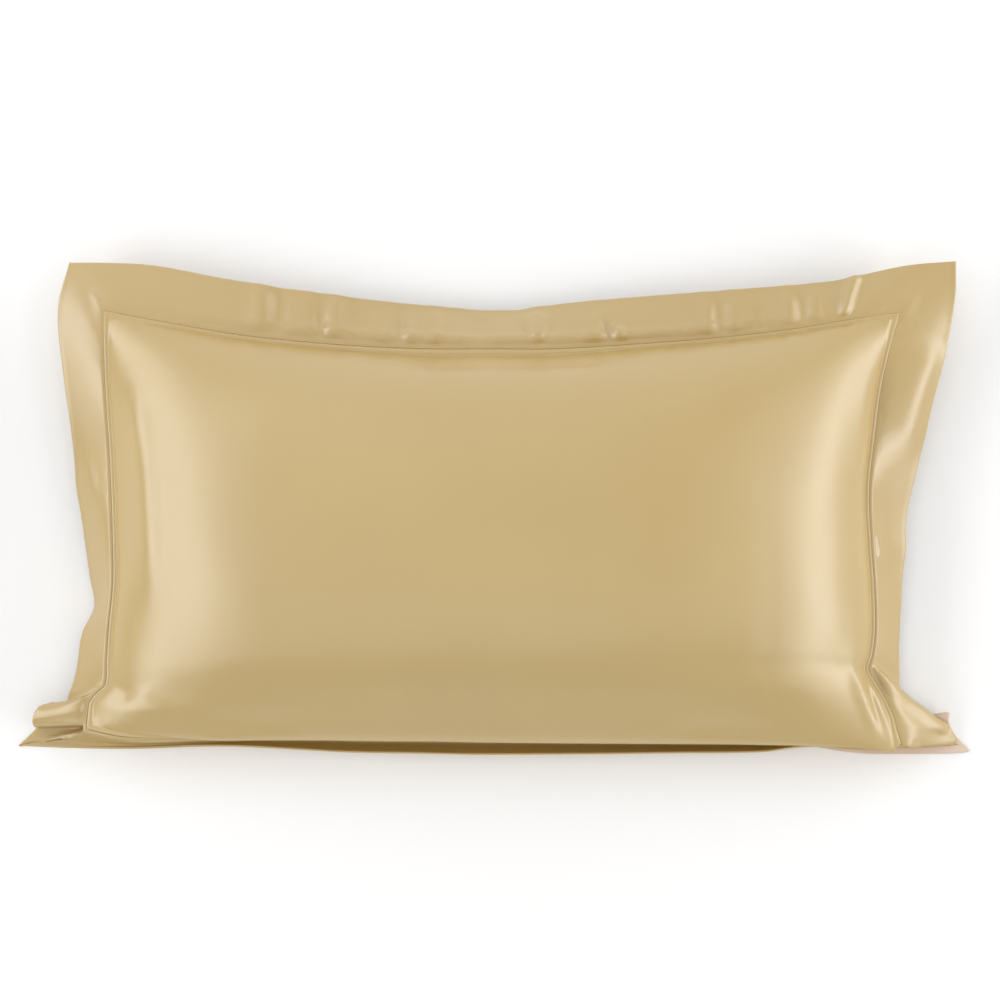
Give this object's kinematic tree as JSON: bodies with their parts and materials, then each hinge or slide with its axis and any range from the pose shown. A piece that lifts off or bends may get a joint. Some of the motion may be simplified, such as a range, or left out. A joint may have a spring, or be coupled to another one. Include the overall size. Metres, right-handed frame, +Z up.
{
  "type": "flanged pillowcase on its pillow",
  "caption": "King size satin pillowcase with a wide flat border, drawn over its pillow and lying on its back; the border droops and folds at the lower corners.",
  "frame": {"origin": "on the floor under the middle of the whole case, border included", "axes": "+X along the long side, +Y towards the upper long side of the face, +Z up out of the face"},
  "size_m": [1.0452, 0.5418, 0.1737],
  "materials": {
    "face_satin": "satin",
    "border_satin": "satin"
  },
  "bodies": {
    "root": {"pocket": "face_satin", "border": "border_satin"}
  },
  "joints": []
}
